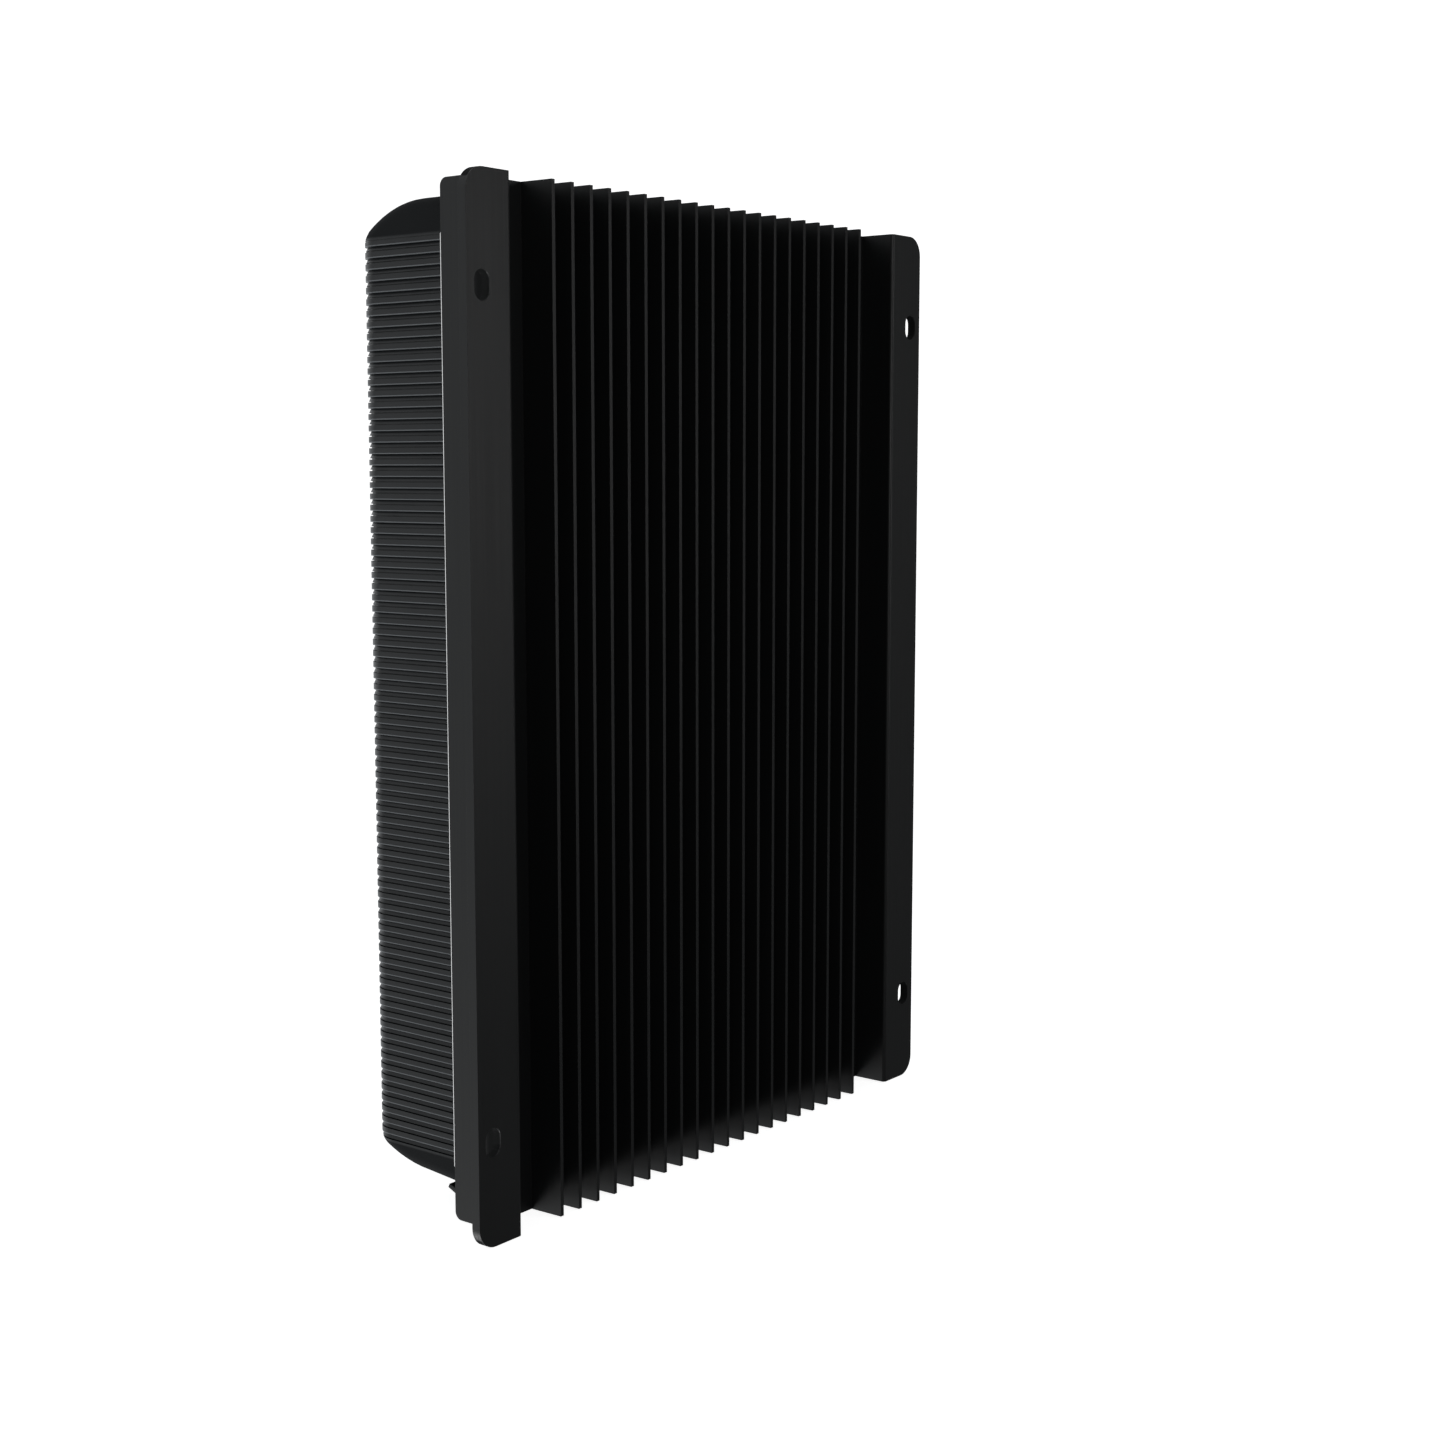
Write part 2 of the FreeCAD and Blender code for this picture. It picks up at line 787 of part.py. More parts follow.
def key_switches():
    bodies = []
    for side in (-1, 1):
        x = side * key_x
        body = post(x, key_z, switch_half, switch_half, display_front, switch_front)
        bodies.append(body.cut(rod_y(plunger_r + gap, x, key_z, display_front - gap, switch_front - past)))
    return bodies


def key_cap(x):
    """A cap with a retaining lip behind the panel and a stem down to the switch."""
    back = panel_inner + gap
    front = panel_front - key_proud
    cap = key_opening(x, 0, back, front)
    cap = cap.makeFillet(key_rim_r, edges_at_y(cap, front))
    lip = key_opening(x, key_lip, back + key_lip_thick, back)
    stem = rod_y(key_stem_r, x, key_z, plunger_front, back + overlap)
    return fuse_all([cap, lip, stem])


def key_plunger(x):
    return rod_y(plunger_r, x, key_z, display_front - gap - key_travel - gap, plunger_front)


# ---- main board and what stands on it ----
def main_board():
    board = rounded_y(-board_half, board_half, board_low, board_high, board_back, board_front, board_corner_r)
    return board.cut([rod_y(m3[0] + slack, x, z, board_back + past, board_front - past)
                      for x, z in standoff_places])


def standoffs():
    posts = []
    for x, z in standoff_places:
        body = fuse_all([hex_y(standoff_flats, x, z, base_front, board_back),
                         rod_y(m3[0], x, z, base_front + standoff_stud, base_front)])
        thread = rod_y(m3[0] + fit, x, z, board_back + board_screw_reach + overlap, board_back - past)
        posts.append(body.cut(thread))
    return posts


def board_screws():
    return [pan_screw(x, z, board_front, board_back + board_screw_reach, m3) for x, z in standoff_places]


def transistors():
    """Power transistors lying on the heat sink behind the board, with their legs bent up to it."""
    packs = []
    low, tab_low, high = transistor_z
    body_front = transistor_back - transistor_thick
    half = leg_width / 2
    for x in transistor_x:
        parts = [block(x - transistor_half, x + transistor_half, transistor_back, body_front, low, tab_low),
                 block(x - transistor_half, x + transistor_half, transistor_back,
                       transistor_back - tab_thick, tab_low, high)]
        for i in (-1, 0, 1):
            leg = x + i * leg_pitch
            parts.append(block(leg - half, leg + half, leg_back, leg_back - leg_thick, leg_end_z, low))
            parts.append(block(leg - half, leg + half, leg_back, board_back, leg_end_z - leg_thick, leg_end_z))
        packs.append(fuse_all(parts).cut(rod_y(m3_hole, x, tab_hole_z, base_front, body_front)))
    return packs


def transistor_pads():
    half = transistor_half + pad_margin
    return [block(x - half, x + half, base_front, transistor_back, transistor_z[0] - pad_margin,
                  transistor_z[2] + pad_margin) for x in transistor_x]


def inductor_core(side):
    ring = rod_y(core_r, side * inductor_x, inductor_z, core_back, core_front)
    return ring.cut(rod_y(core_bore, side * inductor_x, inductor_z, core_back + past, core_front - past))


def turn_frame(x, grow, half_z):
    """A block round one side of the core's section, larger than it by the given amount."""
    return block(x + core_bore - grow, x + core_r + grow, core_back + grow, core_front - grow,
                 inductor_z - half_z, inductor_z + half_z)


def inductor_winding(side):
    """Copper turns laid radially through the core."""
    x = side * inductor_x
    turns = []
    for i in range(winding_turns):
        turn = turn_frame(x, wire + slack, wire / 2).cut(turn_frame(x, slack, wire))
        turn.rotate(vec(x, 0, inductor_z), vec(0, 1, 0), 360.0 * (i + 0.5) / winding_turns)
        turns.append(turn)
    return turns


def capacitors(places, r):
    cans = []
    front = board_front - capacitor_tall
    for x in places:
        can = rod_y(r, x, capacitor_z, board_front, front)
        cans.append(can.makeFillet(can_edge_r, edges_at_y(can, front)))
    return cans


def controller_chips():
    return [post(x, z, half, half, board_front, board_front - chip_thick)
            for (x, z), half in zip(chip_places, chip_halves)]


def current_shunt():
    """A bent metal strip whose small resistance measures the battery current."""
    foot = board_front
    sole = foot - shunt_thick
    top = foot - shunt_rise
    inner = shunt_half - shunt_foot
    outer = inner + shunt_thick
    right = [(inner, top + shunt_thick), (inner, foot), (shunt_half, foot), (shunt_half, sole),
             (outer, sole), (outer, top)]
    left = [(-x, y) for x, y in reversed(right)]
    return prism_z(right + left, shunt_low, shunt_low + shunt_wide)


def fuses():
    """Plug-in blade fuses standing in their sockets."""
    packs = []
    socket_front = board_front - fuse_socket_tall
    for x in (-fuse_x, fuse_x):
        socket = post(x, fuse_z, fuse_socket_half, fuse_socket_half_z, board_front, socket_front)
        body = post(x, fuse_z, fuse_half, fuse_half_z, socket_front, socket_front - fuse_tall)
        packs.append(fuse_all([socket, body]))
    return packs


def ribbon_sockets():
    return [post(0, ribbon_top_z, ribbon_socket_half, ribbon_socket_half_z, display_back,
                 display_back + ribbon_socket_tall),
            post(0, ribbon_low_z, ribbon_socket_half, ribbon_socket_half_z, board_front,
                 board_front - ribbon_socket_tall)]


def ribbon_cable():
    """A flat flexible lead that drops from the display board to the main board."""
    x = -ribbon_half
    top = display_back + ribbon_socket_tall
    low = board_front - ribbon_socket_tall
    drop = (top + low) / 2
    r = ribbon_bend_r
    k = r * (1 - sin(pi / 4))
    bend_a = [vec(x, drop - r, ribbon_top_z), vec(x, drop - k, ribbon_top_z - k),
              vec(x, drop, ribbon_top_z - r)]
    bend_b = [vec(x, drop, ribbon_low_z + r), vec(x, drop + k, ribbon_low_z + k),
              vec(x, drop + r, ribbon_low_z)]
    path = Part.Wire([Part.makeLine(vec(x, top, ribbon_top_z), bend_a[0]), Part.Arc(*bend_a).toShape(),
                      Part.makeLine(bend_a[2], bend_b[0]), Part.Arc(*bend_b).toShape(),
                      Part.makeLine(bend_b[2], vec(x, low, ribbon_low_z))])
    half = ribbon_thick / 2
    corners = [vec(x, top, ribbon_top_z - half), vec(x, top, ribbon_top_z + half),
               vec(-x, top, ribbon_top_z + half), vec(-x, top, ribbon_top_z - half)]
    return path.makePipe(Part.Face(Part.makePolygon(corners + corners[:1])))


# ---- terminals: rising-cage clamps in one moulded row, and the two signal ports ----
def terminal_block():
    body = block(-block_half, block_half, board_front - gap, block_front, block_low, block_high)
    inner_low = block_low + block_wall
    inner_high = block_high - block_wall
    tools = []
    for x in terminal_x:
        tools.append(block(x - cell_half, x + cell_half, cell_back, cell_front, inner_low, inner_high))
        tools.append(block(x - entry_half, x + entry_half, cage_back - cage_wall_back - 2 * slack,
                           bar_back - slack, block_low - past, inner_low + past))
        tools.append(block(x - entry_half, x + entry_half, bar_back + gap, bar_front - gap,
                           inner_high - past, block_high + past))
        tools.append(rod_y(m4_clamp[0] + gap, x, clamp_z, cell_front + past, collar_front - past))
        tools.append(rod_y(m4_clamp[1] + gap, x, clamp_z, collar_front, block_front - past))
    return body.cut(tools)


def terminal_bars():
    """Copper bars from the clamps up and back to the board."""
    bars = []
    arm_low = block_high + gap
    arm_high = arm_low + bar_thick
    for x in terminal_x:
        bars.append(fuse_all([block(x - bar_half, x + bar_half, bar_back, bar_front, bar_low, arm_high),
                              block(x - bar_half, x + bar_half, board_front, bar_front, arm_low, arm_high)]))
    return bars


def clamp_cage(x):
    half = cage_height / 2
    inner = cage_half - cage_side
    outside = post(x, clamp_z, cage_half, half, cage_back, cage_front)
    return outside.cut([post(x, clamp_z, inner, half + past, cage_back - cage_wall_back, cage_inner_front),
                        rod_y(m4_clamp[0] + fit, x, clamp_z, cage_inner_front + past, cage_front - past)])


def clamp_screw(x):
    return pan_screw(x, clamp_z, head_seat, bar_front - gap - slack, m4_clamp)


def comms_jack():
    """A data jack whose mouth faces down, with a groove for the plug's latch."""
    body = block(jack_x - jack_half, jack_x + jack_half, board_front, jack_front, block_low, jack_top)
    mouth = block(jack_x - mouth_half, jack_x + mouth_half, mouth_back, mouth_front, block_low - past,
                  mouth_top)
    latch = block(jack_x - latch_half, jack_x + latch_half, mouth_front + overlap, mouth_front - latch_deep,
                  block_low - past, latch_top)
    return body.cut([mouth, latch])


def jack_contacts():
    """Sprung wires along the back of the jack's mouth."""
    low_back = mouth_back - contact_reach
    outline = [(mouth_back, mouth_top), (mouth_back, mouth_top - past), (low_back, contact_low),
               (low_back - contact_thick, contact_low), (mouth_back - contact_thick, mouth_top)]
    first = jack_x - (contact_count - 1) / 2 * contact_pitch
    middles = [first + i * contact_pitch for i in range(contact_count)]
    return [prism_x(outline, x - contact_half, x + contact_half) for x in middles]


def sensor_socket():
    """A two-way plug socket for the temperature probe, open below."""
    inner = sensor_half - sensor_wall
    body = block(sensor_x - sensor_half, sensor_x + sensor_half, board_front, sensor_front, block_low,
                 sensor_top)
    return body.cut(block(sensor_x - inner, sensor_x + inner, board_front - sensor_wall,
                          sensor_front + sensor_wall, block_low - past, sensor_top - sensor_floor))


def sensor_pins():
    root = sensor_top - sensor_floor
    y = (board_front + sensor_front) / 2
    return [rod_z(pin_r, sensor_x + side * pin_pitch / 2, y, root - pin_reach, root) for side in (-1, 1)]


# ---- write one file per sub-part ----
os.makedirs("parts", exist_ok=True)
cover_shell = outer_body().cut(smooth_body(cover_wall))
cover_frame = cover_shell.cut(lid_zone(gap))

save("heatsink", heatsink())
save("top_panel", top_panel())
save("bottom_panel", bottom_panel())
save("end_panel_screws", *end_panel_screws())
save("ground_screw", ground_screw())
save("front_cover", front_cover(cover_frame))
save("cover_screws", *cover_screws())
save("seam_strip_right", seam_strip(1))
save("seam_strip_left", seam_strip(-1))
save("terminal_cover", terminal_cover(cover_shell))
save("terminal_cover_screws", *terminal_cover_screws())
save("control_panel", control_panel())
save("panel_screws", *panel_screws())
save("display_lens", display_lens())
save("lcd_glass", lcd_glass())
save("lcd_frame", lcd_frame())
save("lcd_backlight", lcd_backlight())
save("lcd_legs", *lcd_legs())
save("display_board", display_board())
save("display_screws", *display_screws())
save("indicator_lamps", *indicator_lamps())
save("lamp_chips", *lamp_chips())
save("key_switches", *key_switches())
for name, side in (("select", -1), ("enter", 1)):
    save(name + "_key", key_cap(side * key_x))
    save(name + "_plunger", key_plunger(side * key_x))
save("ribbon_cable", ribbon_cable())
save("ribbon_sockets", *ribbon_sockets())
save("main_board", main_board())
save("standoffs", *standoffs())
save("board_screws", *board_screws())
save("transistors", *transistors())
save("transistor_pads", *transistor_pads())
save("inductor_cores", inductor_core(-1), inductor_core(1))
save("inductor_windings", *inductor_winding(-1), *inductor_winding(1))
save("input_capacitors", *capacitors(input_can_x, input_can_r))
save("output_capacitors", *capacitors(output_can_x, output_can_r))
save("controller_chips", *controller_chips())
save("current_shunt", current_shunt())
save("fuses", *fuses())
save("terminal_block", terminal_block())
save("terminal_bars", *terminal_bars())
save("comms_jack", comms_jack())
save("jack_contacts", *jack_contacts())
save("sensor_socket", sensor_socket())
save("sensor_pins", *sensor_pins())
for i, x in enumerate(terminal_x):
    save("clamp_cage_%d" % (i + 1), clamp_cage(x))
    save("clamp_screw_%d" % (i + 1), clamp_screw(x))
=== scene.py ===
import json
from math import cos, pi, radians, sin, tau

import bmesh
import bpy
from mathutils import Matrix, Vector

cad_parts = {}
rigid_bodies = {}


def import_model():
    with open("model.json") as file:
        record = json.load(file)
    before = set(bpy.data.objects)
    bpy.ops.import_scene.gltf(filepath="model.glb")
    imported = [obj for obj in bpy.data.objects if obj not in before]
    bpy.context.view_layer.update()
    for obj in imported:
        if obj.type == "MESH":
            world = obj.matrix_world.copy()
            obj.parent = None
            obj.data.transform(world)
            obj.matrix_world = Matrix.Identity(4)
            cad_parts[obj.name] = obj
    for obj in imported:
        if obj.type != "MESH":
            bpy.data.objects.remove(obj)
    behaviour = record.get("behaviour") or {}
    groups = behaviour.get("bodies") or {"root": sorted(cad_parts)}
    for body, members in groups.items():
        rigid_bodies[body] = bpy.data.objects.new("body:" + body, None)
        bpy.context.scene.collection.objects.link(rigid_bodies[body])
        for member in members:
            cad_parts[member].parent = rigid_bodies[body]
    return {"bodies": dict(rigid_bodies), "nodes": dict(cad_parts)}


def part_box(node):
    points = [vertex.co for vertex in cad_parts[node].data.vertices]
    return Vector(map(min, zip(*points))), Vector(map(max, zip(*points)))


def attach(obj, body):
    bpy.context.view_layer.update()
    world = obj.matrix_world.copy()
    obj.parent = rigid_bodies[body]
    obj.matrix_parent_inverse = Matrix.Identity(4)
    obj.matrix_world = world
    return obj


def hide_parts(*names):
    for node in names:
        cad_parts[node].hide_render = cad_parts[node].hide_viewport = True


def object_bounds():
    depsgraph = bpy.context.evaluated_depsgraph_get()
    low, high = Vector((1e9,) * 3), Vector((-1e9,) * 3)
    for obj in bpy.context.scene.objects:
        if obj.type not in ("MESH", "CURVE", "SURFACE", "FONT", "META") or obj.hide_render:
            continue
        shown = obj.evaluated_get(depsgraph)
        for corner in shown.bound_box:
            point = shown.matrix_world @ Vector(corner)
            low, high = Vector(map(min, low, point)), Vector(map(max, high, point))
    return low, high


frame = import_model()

cad_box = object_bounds()
mm = 0.001


# ---- Heat sink -------------------------------------------------------------------------------
# The back of the unit: one length of extruded aluminium with fins, side walls and two slotted
# flanges, sawn to length, de-burred, etched matt and anodised black.
def new_finish(name):
    """A fresh finish: its node tree and its shader."""
    finish = bpy.data.materials.new(name)
    finish.use_nodes = True
    return finish, finish.node_tree, finish.node_tree.nodes["Principled BSDF"]


def put(tree, kind, values=None, **settings):
    """Adds a node, sets its options, and fills in the inputs that stay fixed."""
    node = tree.nodes.new("ShaderNode" + kind)
    for option, value in settings.items():
        setattr(node, option, value)
    for socket, value in (values or {}).items():
        node.inputs[socket].default_value = value
    return node


def body_space(tree, stretch=(1, 1, 1)):
    """Points on the piece in metres, stretched along each axis."""
    where = put(tree, "TexCoord")
    mapping = put(tree, "Mapping", {"Scale": stretch})
    tree.links.new(where.outputs["Object"], mapping.inputs["Vector"])
    return mapping.outputs["Vector"]


def mottle(tree, place, scale, detail=3.0):
    """Soft random patches between 0 and 1."""
    noise = put(tree, "TexNoise", {"Scale": scale, "Detail": detail})
    tree.links.new(place, noise.inputs["Vector"])
    return noise.outputs["Fac"]


def spread(tree, source, low, high):
    """Turns the middle stretch of a 0 to 1 pattern into a range of values."""
    ramp = put(tree, "MapRange", {"From Min": 0.3, "From Max": 0.7, "To Min": low, "To Max": high})
    tree.links.new(source, ramp.inputs["Value"])
    return ramp.outputs["Result"]


def shade(tree, source, dark, light):
    """Turns a 0 to 1 pattern into a colour between two colours."""
    mix = put(tree, "Mix", {6: (*dark, 1), 7: (*light, 1)}, data_type="RGBA")
    tree.links.new(source, mix.inputs["Factor"])
    return mix.outputs[2]


def axis_of(tree, place, axis):
    """How far a point lies along one axis."""
    split = put(tree, "SeparateXYZ")
    tree.links.new(place, split.inputs["Vector"])
    return split.outputs[axis]


def between(tree, source, low, high, blur, low_blur=None):
    """One where the source lies between two values, falling softly to zero outside them."""
    rise = put(tree, "MapRange", {"From Min": low - (low_blur or blur), "From Max": low})
    fall = put(tree, "MapRange", {"From Min": high, "From Max": high + blur, "To Min": 1.0, "To Max": 0.0})
    both = put(tree, "Math", operation="MULTIPLY")
    for end, ramp in enumerate((rise, fall)):
        tree.links.new(source, ramp.inputs["Value"])
        tree.links.new(ramp.outputs["Result"], both.inputs[end])
    return both.outputs["Value"]


def blend(tree, share, value, source):
    """Goes from a fixed value to a pattern as the share rises from 0 to 1."""
    mix = put(tree, "Mix", {2: value}, data_type="FLOAT")
    tree.links.new(share, mix.inputs["Factor"])
    tree.links.new(source, mix.inputs[3])
    return mix.outputs[0]


def relief(tree, shader, source, depth, strength=1.0, under=None):
    """Presses a pattern into the surface, on top of any relief already there."""
    bump = put(tree, "Bump", {"Distance": depth, "Strength": strength})
    tree.links.new(source, bump.inputs["Height"])
    if under is not None:
        tree.links.new(under, bump.inputs["Normal"])
    tree.links.new(bump.outputs["Normal"], shader.inputs["Normal"])
    return bump.outputs["Normal"]


def feed(tree, shader, **sources):
    """Links patterns to the shader; an underscore in a name stands for a space."""
    for socket, source in sources.items():
        tree.links.new(source, shader.inputs[socket.replace("_", " ")])


def dress(piece, finish):
    """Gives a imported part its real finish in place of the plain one."""
    part = frame["nodes"][piece]
    part.data.materials.clear()
    part.data.materials.append(finish)


def soften(piece, radius, steps=2, angle=35):
    """Closes the mesh's split edges and rounds its sharp ones, as tumbling or a mould does."""
    part = frame["nodes"][piece]
    weld = part.modifiers.new("closed_edges", "WELD")
    weld.merge_threshold = 0.003 * mm
    bevel = part.modifiers.new("broken_edges", "BEVEL")
    bevel.width = radius
    bevel.segments = steps
    bevel.limit_method = "ANGLE"
    bevel.angle_limit = radians(angle)
    bevel.harden_normals = True
    part.data.shade_smooth()
    flatten = part.modifiers.new("true_faces", "WEIGHTED_NORMAL")
    flatten.keep_sharp = True


def anodised(name, dark, light, roughness, die_lines):
    """Etched aluminium under dyed oxide, with faint die lines.

    The slots and the corner under each flange are fully rough, so that they read as dark as they
    do in the photograph."""
    finish, tree, shader = new_finish(name)
    place = body_space(tree)
    along = body_space(tree, die_lines)
    patches = mottle(tree, place, 22.0)
    etch = mottle(tree, place, 5200.0, 2.0)
    lines = mottle(tree, along, 1.0, 4.0)
    wall_face, flange_end = 83.0 * mm, 95.0 * mm
    corner_foot, corner_top = -9.0 * mm, -0.4 * mm
    blur, foot_blur = 0.2 * mm, 3.0 * mm
    outward = put(tree, "Math", operation="ABSOLUTE")
    tree.links.new(axis_of(tree, place, "X"), outward.inputs[0])
    across = between(tree, outward.outputs["Value"], wall_face, flange_end, blur)
    deep = between(tree, axis_of(tree, place, "Y"), corner_foot, corner_top, blur, foot_blur)
    corner = put(tree, "Math", operation="MULTIPLY")
    tree.links.new(across, corner.inputs[0])
    tree.links.new(deep, corner.inputs[1])
    open_face = put(tree, "Math", {0: 1.0}, operation="SUBTRACT")
    tree.links.new(corner.outputs["Value"], open_face.inputs[1])
    drawn = spread(tree, lines, roughness - 0.06, roughness + 0.07)
    feed(tree, shader, Base_Color=shade(tree, patches, dark, light),
         Roughness=blend(tree, open_face.outputs["Value"], 1.0, drawn))
    grain = relief(tree, shader, etch, 0.012 * mm, 0.6)
    relief(tree, shader, lines, 0.010 * mm, 0.5, grain)
    shader.inputs["Specular IOR Level"].default_value = 0.30
    return finish


anodised_extrusion = anodised("anodised_extrusion", (0.0058, 0.0061, 0.0063), (0.0078, 0.0082, 0.0085),
                              0.42, (2600, 2600, 14))
dress("heatsink", anodised_extrusion)
soften("heatsink", 0.16 * mm)


# ---- End panels and their fasteners ----------------------------------------------------------
# Two bent strips of black anodised sheet close the channel above and below. Each is held by
# two black pan-head screws; a zinc-plated earth screw stands in the lower one.
anodised_sheet = anodised("anodised_sheet", (0.007, 0.0072, 0.0076), (0.010, 0.0103, 0.0108),
                          0.38, (30, 1500, 1500))
for panel in ("top_panel", "bottom_panel"):
    dress(panel, anodised_sheet)
    soften(panel, 0.15 * mm)


def plated(name, dark, light, roughness, metal=1.0):
    """Turned metal with fine tool marks and slightly uneven plating."""
    finish, tree, shader = new_finish(name)
    place = body_space(tree)
    patches = mottle(tree, place, 900.0)
    marks = mottle(tree, body_space(tree, (9000, 1200, 9000)), 1.0, 2.0)
    feed(tree, shader, Base_Color=shade(tree, patches, dark, light),
         Roughness=spread(tree, patches, roughness - 0.08, roughness + 0.10))
    relief(tree, shader, marks, 0.006 * mm, 0.5)
    shader.inputs["Metallic"].default_value = metal
    return finish


zinc_plate = plated("zinc_plate", (0.50, 0.51, 0.53), (0.68, 0.68, 0.67), 0.30)
black_oxide = plated("black_oxide", (0.012, 0.012, 0.013), (0.024, 0.024, 0.026), 0.40, 0.0)
dress("end_panel_screws", black_oxide)
dress("ground_screw", zinc_plate)
soften("end_panel_screws", 0.08 * mm)
soften("ground_screw", 0.12 * mm)


# ---- Main board ------------------------------------------------------------------------------
# A thick glass-epoxy board under green solder mask, standing on six brass hexagon posts.
# Copper tracks show as slightly raised, lighter bands through the mask.
def circuit_board(name):
    """Green mask over woven glass; the joints of a brick pattern stand for the copper tracks."""
    finish, tree, shader = new_finish(name)
    place = body_space(tree)
    tracks = put(tree, "TexBrick", {"Color1": (0, 0, 0, 1), "Color2": (0.15, 0.15, 0.15, 1),
                                    "Mortar": (1, 1, 1, 1), "Scale": 1.0,
                                    "Mortar Size": 0.7 * mm, "Mortar Smooth": 0.2,
                                    "Brick Width": 18.3 * mm, "Row Height": 4.7 * mm})
    flat = put(tree, "Mapping", {"Rotation": (pi / 2, 0, 0)})
    tree.links.new(place, flat.inputs["Vector"])
    tree.links.new(flat.outputs["Vector"], tracks.inputs["Vector"])
    raised = put(tree, "RGBToBW")
    tree.links.new(tracks.outputs["Color"], raised.inputs["Color"])
    weave = mottle(tree, place, 1800.0)
    greens = shade(tree, raised.outputs["Val"], (0.010, 0.075, 0.030), (0.022, 0.150, 0.060))
    feed(tree, shader, Base_Color=greens, Roughness=spread(tree, weave, 0.28, 0.42))
    cloth = relief(tree, shader, weave, 0.01 * mm, 0.4)
    relief(tree, shader, raised.outputs["Val"], 0.035 * mm, 0.8, cloth)
    return finish


solder_mask = circuit_board("solder_mask")
brass_bar = plated("brass_bar", (0.56, 0.40, 0.16), (0.72, 0.54, 0.25), 0.28)
dress("main_board", solder_mask)
dress("standoffs", brass_bar)
dress("board_screws", zinc_plate)
soften("main_board", 0.1 * mm)
soften("standoffs", 0.12 * mm)
soften("board_screws", 0.08 * mm)


# ---- Power transistors and their pads --------------------------------------------------------
# Six moulded packages lie against the heat sink on grey thermal pads, legs bent up to the
# board. The mould compound is slightly rough, with a fine grain.
def moulded(name, dark, light, roughness, grain, depth, shine=0.4):
    """Injection-moulded plastic with a fine spark-eroded texture."""
    finish, tree, shader = new_finish(name)
    place = body_space(tree)
    clouds = mottle(tree, place, 60.0)
    texture = mottle(tree, place, 1 / grain, 2.5)
    feed(tree, shader, Base_Color=shade(tree, clouds, dark, light),
         Roughness=spread(tree, texture, roughness - 0.05, roughness + 0.07))
    relief(tree, shader, texture, depth, 0.7)
    shader.inputs["Specular IOR Level"].default_value = shine
    return finish


mould_compound = moulded("mould_compound", (0.014, 0.014, 0.015), (0.022, 0.022, 0.023),
                         0.55, 0.25 * mm, 0.02 * mm)
thermal_pad = moulded("thermal_pad", (0.36, 0.39, 0.43), (0.46, 0.49, 0.53), 0.80, 0.5 * mm, 0.03 * mm)
dress("transistors", mould_compound)
dress("transistor_pads", thermal_pad)
soften("transistors", 0.1 * mm)
soften("transistor_pads", 0.08 * mm)


# ---- Inductors -------------------------------------------------------------------------------
# Two ring cores of pressed iron powder under a green coat, each wound with 22 turns of thick
# enamelled copper wire that hugs the ring's square section with rounded corners.
winding_turns = 22
wire_clearance = 0.92
ring_bore = 9.5 * mm
turn_corner = 1.2 * mm
core_low, core_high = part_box("inductor_cores")
coil_low, coil_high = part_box("inductor_windings")
wire_r = (core_low.y - coil_low.y) / 2 * wire_clearance
ring_centre = Vector((coil_high.x, 0, (core_low.z + core_high.z) / 2))
ring_centre.x -= (coil_high.z - coil_low.z) / 2
ring_r = (core_high.z - core_low.z) / 2


def ring_angles(sides):
    """Even steps of angle round a full turn."""
    return [tau * k / sides for k in range(sides)]


def join_rings(bm, one, two):
    """Closes the strip between two rings of the same number of points."""
    sides = len(one)
    for k in range(sides):
        bm.faces.new((one[k], one[(k + 1) % sides], two[(k + 1) % sides], two[k]))


def plane_normal(path):
    """The direction square to a flat path."""
    return (path[1] - path[0]).cross(path[len(path) // 3] - path[0]).normalized()


def wire_turn(bm, path, r, sides=8):
    """Sweeps a round wire along a closed path."""
    rings = []
    count = len(path)
    for i, point in enumerate(path):
        ahead = (path[(i + 1) % count] - path[i - 1]).normalized()
        across = ahead.cross(plane_normal(path)).normalized()
        up = across.cross(ahead).normalized()
        rings.append([bm.verts.new(point + r * (cos(a) * across + sin(a) * up))
                      for a in ring_angles(sides)])
    for i in range(count):
        join_rings(bm, rings[i], rings[(i + 1) % count])


def rounded_loop(low, high, corner, steps=4):
    """A closed rectangle with rounded corners, as pairs (out, along)."""
    places = []
    for quarter, (u, v) in enumerate(((1, 1), (0, 1), (0, 0), (1, 0))):
        middle_out = (high[0] - corner) if u else (low[0] + corner)
        middle_along = (high[1] - corner) if v else (low[1] + corner)
        for step in range(steps + 1):
            a = pi / 2 * (quarter + step / steps)
            places.append((middle_out + corner * cos(a), middle_along + corner * sin(a)))
    return places


def mesh_piece(name, bm, finish):
    """Makes an object from drawn faces and gives it a finish."""
    bmesh.ops.recalc_face_normals(bm, faces=bm.faces)
    mesh = bpy.data.meshes.new(name)
    bm.to_mesh(mesh)
    bm.free()
    mesh.shade_smooth()
    piece = bpy.data.objects.new(name, mesh)
    bpy.context.scene.collection.objects.link(piece)
    mesh.materials.append(finish)
    return piece


copper_enamel = plated("copper_enamel", (0.50, 0.20, 0.085), (0.68, 0.30, 0.14), 0.22)
copper_enamel.node_tree.nodes["Principled BSDF"].inputs["Coat Weight"].default_value = 0.6
core_coat = moulded("core_coat", (0.020, 0.085, 0.060), (0.030, 0.120, 0.085), 0.38, 0.8 * mm, 0.05 * mm)

